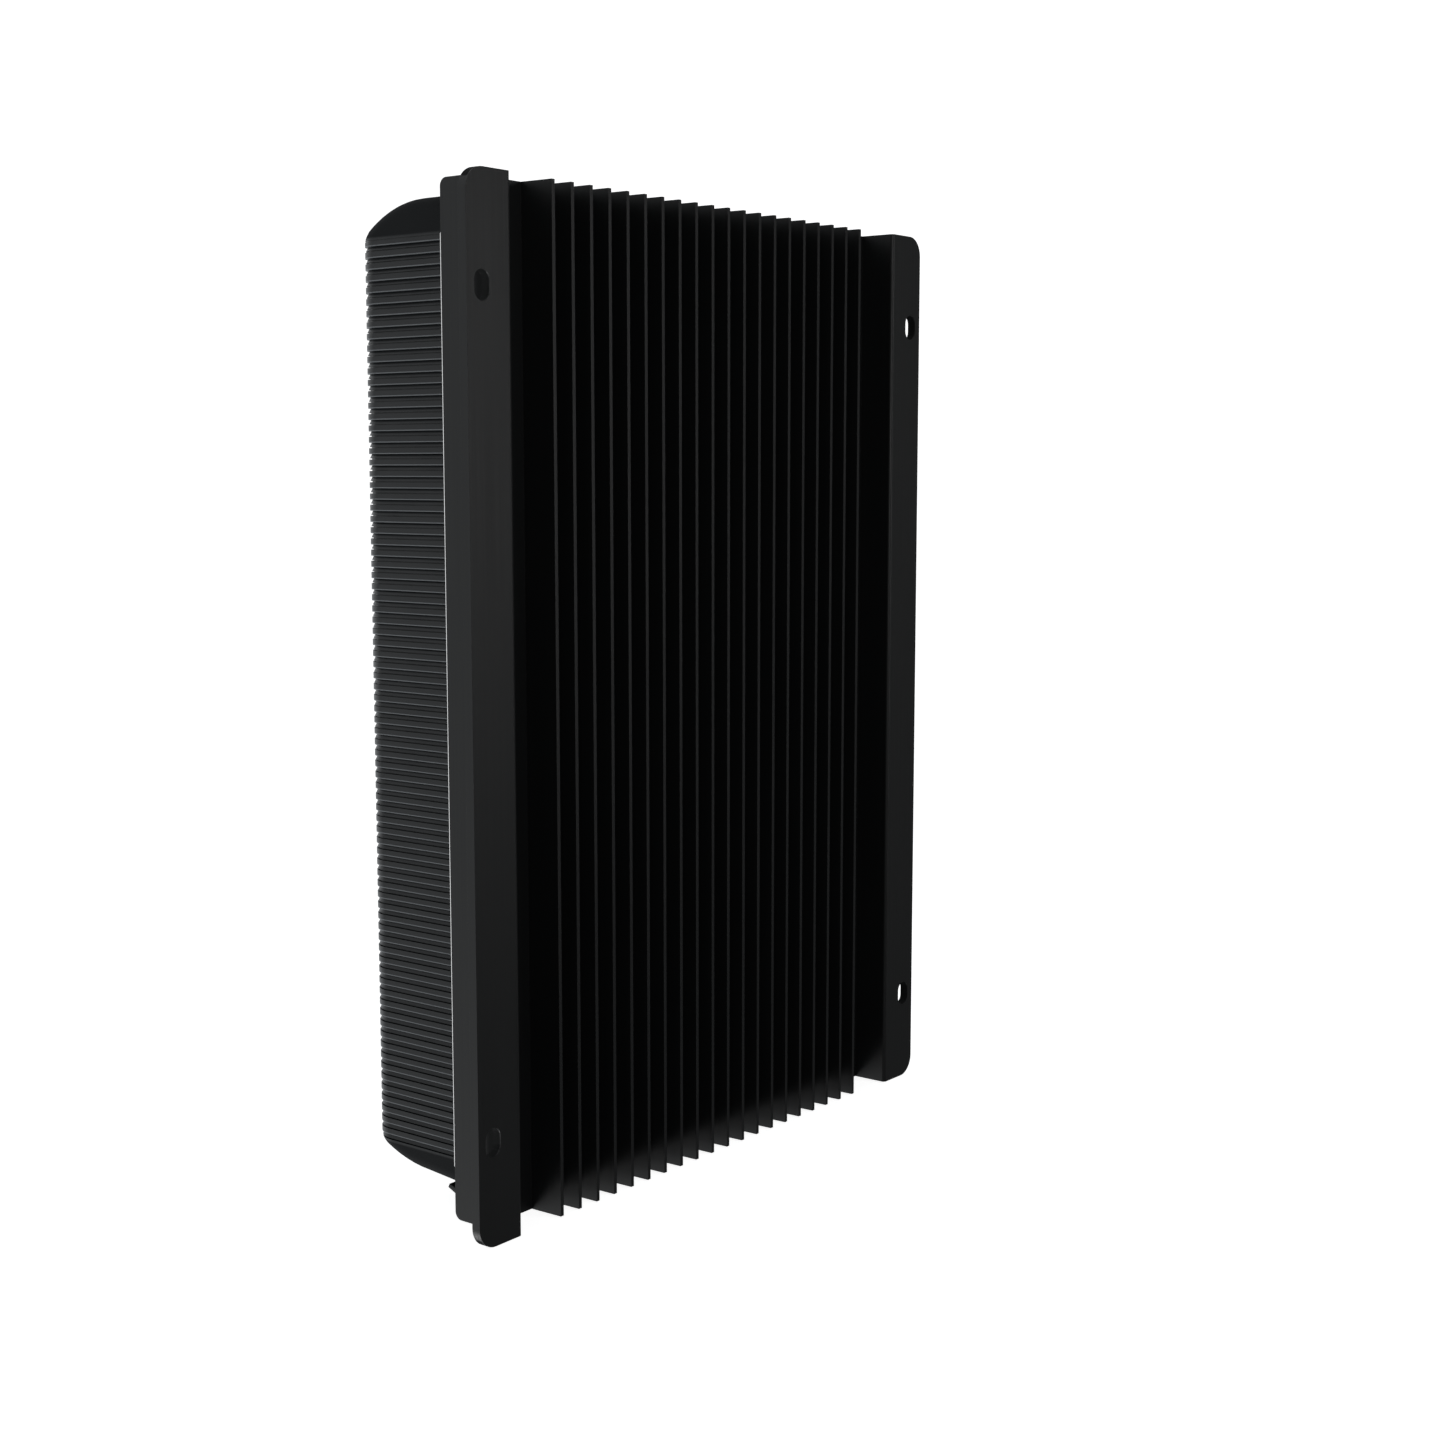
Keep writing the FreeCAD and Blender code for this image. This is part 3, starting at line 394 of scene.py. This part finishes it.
windings = bmesh.new()
section = rounded_loop((ring_bore - wire_r, core_low.y - wire_r), (ring_r + wire_r, core_high.y + wire_r),
                       turn_corner)
for side in (-1, 1):
    middle = Vector((side * ring_centre.x, 0, ring_centre.z))
    for i in range(winding_turns):
        turn = tau * (i + 0.5) / winding_turns
        outward = Vector((cos(turn), 0, sin(turn)))
        wire_turn(windings, [middle + out * outward + Vector((0, y, 0)) for out, y in section], wire_r)
inductor_wire = mesh_piece("inductor_wire", windings, copper_enamel)
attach(inductor_wire, "housing")
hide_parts("inductor_windings")
dress("inductor_cores", core_coat)
soften("inductor_cores", 0.7 * mm, 3)


# ---- Capacitors ------------------------------------------------------------------------------
# Aluminium cans in dark shrink sleeve: a crimped neck near the board, the sleeve turned over
# the rim, and a bare metal top inside the turned edge.
def lathe(bm, outline, centre, sides=40):
    """Turns an outline of (radius, depth) pairs about an axis along Y."""
    rings = []
    for radius, depth in outline:
        rings.append([bm.verts.new((centre[0] + radius * cos(a), depth, centre[1] + radius * sin(a)))
                      for a in ring_angles(sides)])
    for one, two in zip(rings, rings[1:]):
        join_rings(bm, one, two)
    bm.faces.new(rings[0])
    bm.faces.new(rings[-1])


def can_outline(r, base, top):
    """From the board forward to the rim: rubber seal, crimp, straight wall and rolled edge."""
    seal_r = r * 0.90
    neck_r = r * 0.93
    rim = 0.9 * mm
    eased = 0.26 * mm
    tall = base - top
    steps = [(seal_r, 0), (r, 0.6 * mm), (r, 2.2 * mm), (neck_r, 2.9 * mm), (neck_r, 3.3 * mm),
             (r, 4.0 * mm), (r, tall - rim), (r - eased, tall - eased), (r - rim, tall)]
    return [(radius, base - out) for radius, out in steps]


def bare_top(bm, centre, r, y):
    """The can's bare top: a thin disc with an eased edge, smaller than the sleeve's rim."""
    flat = y + 0.35 * mm
    edge_r = r - 1.5 * mm
    face_r = r - 1.9 * mm
    lathe(bm, [(edge_r, flat + 0.3 * mm), (edge_r, flat - 0.25 * mm), (face_r, flat - 0.3 * mm)], centre)


shrink_sleeve = moulded("shrink_sleeve", (0.008, 0.009, 0.022), (0.014, 0.015, 0.034),
                        0.22, 1.2 * mm, 0.03 * mm, 0.6)
bright_can = plated("bright_can", (0.58, 0.59, 0.60), (0.74, 0.74, 0.75), 0.32)
bank_cans = 3
for bank in ("input_capacitors", "output_capacitors"):
    low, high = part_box(bank)
    r = (high.z - low.z) / 2
    cans = bmesh.new()
    tops = bmesh.new()
    for i in range(bank_cans):
        x = low.x + r + (high.x - low.x - 2 * r) * i / (bank_cans - 1)
        centre = (x, (low.z + high.z) / 2)
        lathe(cans, can_outline(r, high.y, low.y + 0.1 * mm), centre)
        bare_top(tops, centre, r, low.y)
    sleeves = mesh_piece(bank + "_sleeves", cans, shrink_sleeve)
    lids = mesh_piece(bank + "_tops", tops, bright_can)
    for piece in (sleeves, lids):
        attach(piece, "housing")
    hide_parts(bank)


# ---- Small parts on the main board -----------------------------------------------------------
# Moulded controller chips, the bent strip of the current shunt, two amber blade fuses in
# their sockets, and the flat ribbon lead up to the display with its two sockets.
alloy_strip = plated("alloy_strip", (0.40, 0.33, 0.26), (0.52, 0.43, 0.34), 0.36)
amber_blade = moulded("amber_blade", (0.46, 0.26, 0.030), (0.56, 0.33, 0.045),
                      0.22, 0.6 * mm, 0.01 * mm, 0.5)
socket_nylon = moulded("socket_nylon", (0.58, 0.55, 0.47), (0.66, 0.63, 0.55), 0.45, 0.4 * mm, 0.015 * mm)
ribbon_film = moulded("ribbon_film", (0.34, 0.35, 0.37), (0.42, 0.43, 0.45), 0.42, 0.6 * mm, 0.01 * mm)
for piece, finish, edge in (("controller_chips", mould_compound, 0.1), ("current_shunt", alloy_strip, 0.12),
                            ("fuses", amber_blade, 0.25), ("ribbon_sockets", socket_nylon, 0.12),
                            ("ribbon_cable", ribbon_film, 0.03)):
    dress(piece, finish)
    soften(piece, edge * mm)


# ---- Wire clamps -----------------------------------------------------------------------------
# A row of six rising-cage terminals: one glass-filled moulding, copper bars back to the board,
# and in each cell a plated steel cage that a zinc-plated screw draws up under the bar.
glass_nylon = moulded("glass_nylon", (0.010, 0.038, 0.026), (0.014, 0.052, 0.036),
                      0.50, 0.22 * mm, 0.02 * mm)
tinned_copper = plated("tinned_copper", (0.55, 0.53, 0.50), (0.70, 0.67, 0.63), 0.26)
dress("terminal_block", glass_nylon)
dress("terminal_bars", tinned_copper)
soften("terminal_block", 0.18 * mm)
soften("terminal_bars", 0.12 * mm)
clamps = sum(1 for body in frame["bodies"] if body.startswith("clamp_cage"))
for i in range(1, clamps + 1):
    dress("clamp_cage_%d" % i, zinc_plate)
    dress("clamp_screw_%d" % i, zinc_plate)
    soften("clamp_cage_%d" % i, 0.15 * mm)
    soften("clamp_screw_%d" % i, 0.10 * mm)


# ---- Signal ports ----------------------------------------------------------------------------
# A black data jack with eight gilded spring wires, and a two-way socket with tinned pins for
# the temperature probe. Both open downwards beside the clamps.
jack_black = moulded("jack_black", (0.016, 0.016, 0.017), (0.024, 0.024, 0.025), 0.36, 0.3 * mm, 0.01 * mm)
gilt = plated("gilt", (0.78, 0.52, 0.17), (0.88, 0.64, 0.26), 0.20)
for piece, finish, edge in (("comms_jack", jack_black, 0.15), ("jack_contacts", gilt, 0.05),
                            ("sensor_socket", socket_nylon, 0.15), ("sensor_pins", tinned_copper, 0.08)):
    dress(piece, finish)
    soften(piece, edge * mm)


# ---- Front cover -----------------------------------------------------------------------------
# One black plastic moulding: ribbed all round its sides and front, smooth and curved at the
# two ends. Four black screws in counterbores hold it to the heat sink.
def satin_moulding(name, dark, light, roughness, end_roughness, shine):
    """Black plastic, satin on the ribs, matt on the ends, with a painted highlight as a pale line along
    each rib's lower edge.
    """
    finish, tree, shader = new_finish(name)
    place = body_space(tree)
    flow = mottle(tree, body_space(tree, (14, 14, 5)), 1.0)
    texture = mottle(tree, place, 3800.0, 2.0)
    handling = mottle(tree, place, 130.0, 5.0)
    rib_pitch = 2.8 * mm
    ribs_low, ribs_high, end_blur = 15.2 * mm, 242.4 * mm, 0.6 * mm
    first_edge = 16.75 * mm
    edge_share, edge_blur = 0.07, 0.03
    # The pale grey line along each rib's lower edge is a painted highlight, not rubbing or wear.
    painted_highlight_grey = (0.165, 0.175, 0.185, 1)
    upward = axis_of(tree, place, "Z")
    ribbed = between(tree, upward, ribs_low, ribs_high, end_blur)
    satin = spread(tree, handling, roughness - 0.05, roughness + 0.06)
    pitches = put(tree, "Math", {1: 1 / rib_pitch, 2: -first_edge / rib_pitch}, operation="MULTIPLY_ADD")
    cycle = put(tree, "Math", operation="FRACT")
    painted_highlight_line = put(tree, "Math", operation="MULTIPLY")
    highlighted_colour = put(tree, "Mix", {7: painted_highlight_grey}, data_type="RGBA")
    tree.links.new(upward, pitches.inputs[0])
    tree.links.new(pitches.outputs["Value"], cycle.inputs[0])
    tree.links.new(between(tree, cycle.outputs["Value"], 0.0, edge_share, edge_blur), painted_highlight_line.inputs[0])
    tree.links.new(ribbed, painted_highlight_line.inputs[1])
    tree.links.new(painted_highlight_line.outputs["Value"], highlighted_colour.inputs["Factor"])
    tree.links.new(shade(tree, flow, dark, light), highlighted_colour.inputs[6])
    feed(tree, shader, Base_Color=highlighted_colour.outputs[2], Roughness=blend(tree, ribbed, end_roughness, satin))
    relief(tree, shader, texture, 0.010 * mm, 0.6)
    shader.inputs["Specular IOR Level"].default_value = shine
    return finish


cover_black = satin_moulding("cover_black", (0.0050, 0.0060, 0.0070), (0.0064, 0.0076, 0.0088),
                             0.34, 0.90, 0.31)
dress("front_cover", cover_black)
soften("front_cover", 0.20 * mm, 2, 40)
dress("cover_screws", black_oxide)
soften("cover_screws", 0.08 * mm)


# ---- Seam strips -----------------------------------------------------------------------------
# A thin white silicone strip lies in the joint between each heat sink wall and the ribbed
# side. It is given a weak painted glow, though it is no lamp, because it is almost white in
# the photograph.
def silicone(name):
    """White rubber with a little dust and a weak painted glow, though it is no lamp."""
    finish, tree, shader = new_finish(name)
    place = body_space(tree)
    dust = mottle(tree, place, 420.0, 4.0)
    feed(tree, shader, Base_Color=shade(tree, dust, (0.80, 0.80, 0.79), (0.88, 0.88, 0.87)),
         Roughness=spread(tree, dust, 0.48, 0.62))
    relief(tree, shader, dust, 0.02 * mm, 0.5)
    # Painted light: the strip emits a weak glow, though it is no lamp.
    shader.inputs["Emission Color"].default_value = (1, 1, 1, 1)
    shader.inputs["Emission Strength"].default_value = 0.6
    return finish


white_silicone = silicone("white_silicone")
for side in ("right", "left"):
    dress("seam_strip_" + side, white_silicone)
    soften("seam_strip_" + side, 0.1 * mm)


# ---- Terminal cover --------------------------------------------------------------------------
# The lower middle of the ribbed front lifts away to reach the clamps. It is moulded in the
# same tool as the cover and held by two black screws.
dress("terminal_cover", cover_black)
soften("terminal_cover", 0.20 * mm, 2, 40)
dress("terminal_cover_screws", black_oxide)
soften("terminal_cover_screws", 0.08 * mm)


# ---- Control panel ---------------------------------------------------------------------------
# A raised black moulding with a fine leather-like tool texture. It carries the display, the
# lamps and the keys, and is screwed on from inside the cover.
panel_black = moulded("panel_black", (0.0105, 0.0110, 0.0120), (0.0135, 0.0142, 0.0155),
                      0.46, 0.45 * mm, 0.022 * mm, 0.35)
dress("control_panel", panel_black)
soften("control_panel", 0.12 * mm)
dress("panel_screws", zinc_plate)
soften("panel_screws", 0.08 * mm)


# ---- Display ---------------------------------------------------------------------------------
# A clear acrylic window over a grey-green liquid-crystal glass in a dull tin frame, with a
# white diffuser behind it, on its own small board. The unpowered digits show faintly.
def clear(name, tint, roughness, ior):
    """Clear moulded plastic with a faint surface waviness."""
    finish, tree, shader = new_finish(name)
    place = body_space(tree)
    film = mottle(tree, place, 90.0, 3.0)
    feed(tree, shader, Roughness=spread(tree, film, roughness, roughness + 0.04),
         Base_Color=shade(tree, film, [0.97 * c for c in tint], tint))
    relief(tree, shader, film, 0.004 * mm, 0.5)
    shader.inputs["Transmission Weight"].default_value = 1.0
    shader.inputs["IOR"].default_value = ior
    return finish


acrylic = clear("acrylic", (0.93, 0.95, 0.95), 0.02, 1.49)
lcd_cell = moulded("lcd_cell", (0.255, 0.300, 0.205), (0.285, 0.330, 0.230),
                   0.22, 2.0 * mm, 0.002 * mm, 0.5)
frame_tin = plated("frame_tin", (0.26, 0.27, 0.28), (0.31, 0.32, 0.33), 0.40)
faint_segment = moulded("faint_segment", (0.190, 0.225, 0.155), (0.205, 0.245, 0.170),
                        0.25, 2.0 * mm, 0.002 * mm, 0.5)
diffuser = moulded("diffuser", (0.74, 0.76, 0.72), (0.80, 0.82, 0.78), 0.50, 0.8 * mm, 0.01 * mm)
for piece, finish, edge in (("display_lens", acrylic, 0.15), ("lcd_glass", lcd_cell, 0.08),
                            ("lcd_frame", frame_tin, 0.10), ("lcd_backlight", diffuser, 0.15),
                            ("lcd_legs", jack_black, 0.10), ("display_board", solder_mask, 0.08),
                            ("display_screws", zinc_plate, 0.06)):
    dress(piece, finish)
    soften(piece, edge * mm)

digit_count = 4
digit_pitch = 14.0 * mm
digit_middle = 187.0 * mm
digit_rise = 9.6 * mm
digit_reach = 4.5 * mm
upright = (0.7 * mm, 4.0 * mm)
level = (3.6 * mm, 0.7 * mm)
segment_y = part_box("lcd_glass")[0].y - 0.02 * mm
segments = bmesh.new()
for digit in range(digit_count):
    middle = (digit - (digit_count - 1) / 2) * digit_pitch
    bars = [(middle, digit_middle + step * digit_rise, level) for step in (-1, 0, 1)]
    bars += [(middle + side * digit_reach, digit_middle + step * digit_rise / 2, upright)
             for side in (-1, 1) for step in (-1, 1)]
    for x, z, (half_x, half_z) in bars:
        corners = [segments.verts.new((x + i * half_x, segment_y, z + k * half_z))
                   for i, k in ((-1, -1), (1, -1), (1, 1), (-1, 1))]
        segments.faces.new(corners)
lcd_segments = mesh_piece("lcd_segments", segments, faint_segment)
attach(lcd_segments, "housing")


# ---- Indicator lamps -------------------------------------------------------------------------
# Three clear light pipes with domed ends carry the light of small white-packaged diodes on
# the display board through the panel.
pipe_clear = clear("pipe_clear", (0.86, 0.92, 0.88), 0.08, 1.50)
ceramic_white = moulded("ceramic_white", (0.72, 0.70, 0.60), (0.80, 0.78, 0.68),
                        0.40, 0.3 * mm, 0.01 * mm)
dress("indicator_lamps", pipe_clear)
dress("lamp_chips", ceramic_white)
soften("indicator_lamps", 0.06 * mm)
soften("lamp_chips", 0.08 * mm)


# ---- Keys ------------------------------------------------------------------------------------
# Two dark grey key caps, softly textured, stand 1.2 mm proud of the panel. Each bears on the
# black plunger of a push switch on the display board.
key_grey = moulded("key_grey", (0.030, 0.031, 0.033), (0.038, 0.039, 0.042), 0.48, 0.35 * mm, 0.018 * mm)
for key in ("select", "enter"):
    dress(key + "_key", key_grey)
    dress(key + "_plunger", jack_black)
    soften(key + "_key", 0.10 * mm)
    soften(key + "_plunger", 0.15 * mm)
dress("key_switches", jack_black)
soften("key_switches", 0.12 * mm)


# ---- Floor, light and camera -----------------------------------------------------------------
# A pale floor and backdrop that only the camera sees, and a soft sky that is brightest before
# the front. One soft light grazes the fins, one lifts the ribs' lower edges and one fills in.
def pale_stage(name, glow, clear_below=False):
    """An even white surface; the floor is clear from below, so that it hides nothing."""
    finish, tree, shader = new_finish(name)
    paper = mottle(tree, body_space(tree), 40.0)
    feed(tree, shader, Base_Color=shade(tree, paper, (0.88, 0.88, 0.88), (0.92, 0.92, 0.92)))
    shader.inputs["Roughness"].default_value = 0.9
    shader.inputs["Specular IOR Level"].default_value = 0.0
    shader.inputs["Emission Color"].default_value = (1, 1, 1, 1)
    shader.inputs["Emission Strength"].default_value = glow
    if clear_below:
        side = put(tree, "NewGeometry")
        either = put(tree, "MixShader")
        tree.links.new(side.outputs["Backfacing"], either.inputs[0])
        tree.links.new(shader.outputs[0], either.inputs[1])
        tree.links.new(put(tree, "BsdfTransparent").outputs[0], either.inputs[2])
        tree.links.new(either.outputs[0], tree.nodes["Material Output"].inputs["Surface"])
    return finish


def camera_only(stage_piece):
    """Keeps a stage piece from lighting the object, showing in its gloss or casting a shadow."""
    stage_piece.visible_diffuse = False
    stage_piece.visible_glossy = False
    stage_piece.visible_shadow = False


floor_r = 30.0
backdrop_r = 29.0
disc = bmesh.new()
bmesh.ops.create_circle(disc, cap_ends=True, segments=96, radius=floor_r)
floor = mesh_piece("floor", disc, pale_stage("pale_floor", 0.86, clear_below=True))
floor.location.z = cad_box[0].z - 0.2 * mm
shell = bmesh.new()
bmesh.ops.create_icosphere(shell, subdivisions=4, radius=backdrop_r)
backdrop = mesh_piece("backdrop", shell, pale_stage("pale_backdrop", 1.0))
for stage_piece in (floor, backdrop):
    camera_only(stage_piece)


def soft_sky(bright_side, strengths):
    """A faintly blue sky whose strength grows smoothly towards its bright side."""
    sky = bpy.data.worlds.new("soft_sky")
    sky.use_nodes = True
    tree = sky.node_tree
    direction = put(tree, "TexCoord")
    towards = put(tree, "VectorMath", operation="DOT_PRODUCT")
    towards.inputs[1].default_value = Vector(bright_side).normalized()
    ramp = put(tree, "ValToRGB")
    ramp.color_ramp.interpolation = "EASE"
    stops = ramp.color_ramp.elements
    last = len(strengths) - 1
    for i, (position, strength) in enumerate(strengths):
        stop = stops[0] if i == 0 else stops[-1] if i == last else stops.new(position)
        stop.position = position
        stop.color = (0.95 * strength, 0.98 * strength, strength, 1)
    share = put(tree, "MapRange", {"From Min": -1.0, "From Max": 1.0})
    tree.links.new(direction.outputs["Generated"], towards.inputs[0])
    tree.links.new(towards.outputs["Value"], share.inputs["Value"])
    tree.links.new(share.outputs["Result"], ramp.inputs["Fac"])
    tree.links.new(ramp.outputs["Color"], tree.nodes["Background"].inputs["Color"])
    bpy.context.scene.world = sky


def soft_light(name, place, aim, width, height, power):
    """A rectangular lamp turned towards a point, hidden from the camera itself."""
    lamp = bpy.data.lights.new(name, "AREA")
    lamp.shape = "RECTANGLE"
    lamp.size = width
    lamp.size_y = height
    lamp.energy = power
    light = bpy.data.objects.new(name, lamp)
    bpy.context.scene.collection.objects.link(light)
    light.location = place
    light.rotation_euler = (Vector(aim) - Vector(place)).to_track_quat("-Z", "Y").to_euler()
    light.visible_camera = False


soft_sky((0.16, -1.0, 0.0), ((0.0, 0.10), (0.50, 0.14), (0.80, 0.60), (1.0, 1.10)))
bpy.context.scene.view_settings.view_transform = "Standard"
soft_light("fin_light", (-0.51, 0.95, 0.28), (0, 0, 0.12), 0.4, 0.5, 1.9)
soft_light("rib_light", (0.45, -0.60, -0.66), (0.08, -0.04, 0.12), 0.40, 0.30, 2.2)
soft_light("fill_light", (0.45, 0.75, 0.35), (0, 0, 0.12), 0.4, 0.4, 1.6)

viewpoint = Vector((0.441112, 0.337863, 0.186449))
heading = radians(232.511)
tilt = radians(-6.923)
roll = radians(0.037)
lens = bpy.data.cameras.new("camera")
lens.lens = 51.78
lens.sensor_width = 36.0
lens.clip_start = 0.01
camera = bpy.data.objects.new("camera", lens)
bpy.context.scene.collection.objects.link(camera)
ahead = Vector((sin(heading) * cos(tilt), cos(heading) * cos(tilt), sin(tilt)))
camera.rotation_mode = "QUATERNION"
camera.location = viewpoint
level_turn = ahead.to_track_quat("-Z", "Y").to_matrix()
camera.rotation_quaternion = (level_turn @ Matrix.Rotation(roll, 3, "Z")).to_quaternion()
bpy.context.scene.camera = camera
